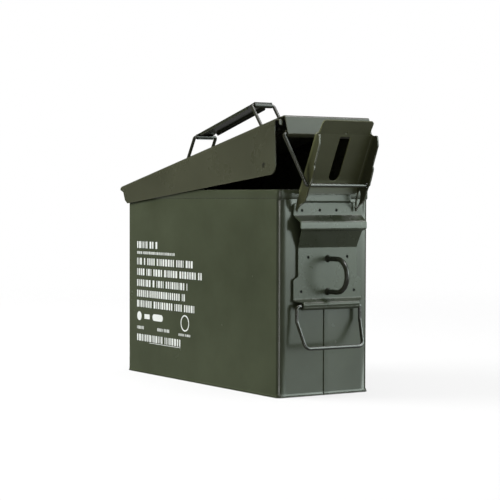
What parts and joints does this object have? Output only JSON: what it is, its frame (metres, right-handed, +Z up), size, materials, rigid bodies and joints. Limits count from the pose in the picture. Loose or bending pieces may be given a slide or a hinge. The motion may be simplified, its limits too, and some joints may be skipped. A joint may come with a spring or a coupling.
{
  "type": "steel storage can",
  "caption": "Painted sheet-steel storage can with a tilting gasketed lid, an over-centre toggle latch, a padlock staple, a folding top handle and a carrying bail on the latch end.",
  "frame": {"origin": "centre of the can's underside, on the surface it stands on", "axes": "+X towards the latch end, -X the hinge end, +Z up; Y is across the can's width"},
  "size_m": [0.304, 0.0968, 0.249],
  "materials": {
    "body": "semi-matt dark olive paint",
    "lid": "semi-matt olive paint, a little lighter than the body",
    "fittings": "semi-matt olive paint, rubbed at the edges",
    "wire": "satin olive paint on round wire",
    "pin": "plain dark steel",
    "gasket": "matt black"
  },
  "bodies": {
    "can": {"body_shell": "body", "bottom_pan": "body", "latch_plate": "body", "padlock_staple": "fittings", "body_hinge_leaf": "body"},
    "hinge_pin": {"hinge_pin": "pin"},
    "lid": {"lid_shell": "lid", "lid_hinge_leaf": "lid", "lid_gasket": "gasket", "gasket_retainer": "body", "handle_clip_front_left": "fittings", "handle_clip_front_right": "fittings", "handle_clip_rear_left": "fittings", "handle_clip_rear_right": "fittings"},
    "latch_lever": {"latch_lever": "fittings"},
    "latch_bail": {"latch_bail": "wire"},
    "carrying_bail": {"carrying_bail": "wire"},
    "handle_grip": {"handle_grip": "fittings"},
    "handle_loop_rear": {"handle_loop_rear": "wire"},
    "handle_loop_front": {"handle_loop_front": "wire"}
  },
  "joints": [
    {"name": "lid_opening", "type": "hinge", "parent": "can", "child": "hinge_pin", "pos_m": [-0.133, 0, 0.17], "axis": [0, -1, 0], "range_deg": [0, 95]},
    {"name": "lid_closing", "type": "hinge", "parent": "hinge_pin", "child": "lid", "pos_m": [-0.133, 0, 0.17], "axis": [0, -1, 0], "range_deg": [-11.6, 0]},
    {"name": "latch_lever_turn", "type": "hinge", "parent": "hinge_pin", "child": "latch_lever", "pos_m": [0.13659, 0, 0.14727], "axis": [0, -1, 0], "range_deg": [-153.62, 0.02]},
    {"name": "latch_bail_turn", "type": "hinge", "parent": "latch_lever", "child": "latch_bail", "pos_m": [0.1478, 0, 0.1746], "axis": [0, -1, 0], "range_deg": [-0.02, 136.4]},
    {"name": "carrying_bail_swing", "type": "hinge", "parent": "can", "child": "carrying_bail", "pos_m": [0.1342, 0.0008, 0.0752], "axis": [0, -1, 0], "range_deg": [0, 85]},
    {"name": "handle_lift", "type": "slide", "parent": "lid", "child": "handle_grip", "axis": [-0.2011, 0, 0.9796], "range_m": [-0.005, 0]},
    {"name": "handle_loop_rear_turn", "type": "hinge", "parent": "lid", "child": "handle_loop_rear", "pos_m": [-0.0824, 0, 0.18855], "axis": [0, -1, 0], "range_deg": [-10.52, 0.02]},
    {"name": "handle_loop_front_turn", "type": "hinge", "parent": "lid", "child": "handle_loop_front", "pos_m": [0.05758, 0, 0.21729], "axis": [0, -1, 0], "range_deg": [-0.02, 14.22]}
  ],
  "couplings": [
    {"joint": "latch_lever_turn", "follows": "lid_closing", "ratio": 13.241},
    {"joint": "latch_bail_turn", "follows": "lid_closing", "ratio": -11.757},
    {"joint": "handle_loop_rear_turn", "follows": "handle_lift", "rad_per_m": 36.652},
    {"joint": "handle_loop_front_turn", "follows": "handle_lift", "rad_per_m": -49.567}
  ]
}
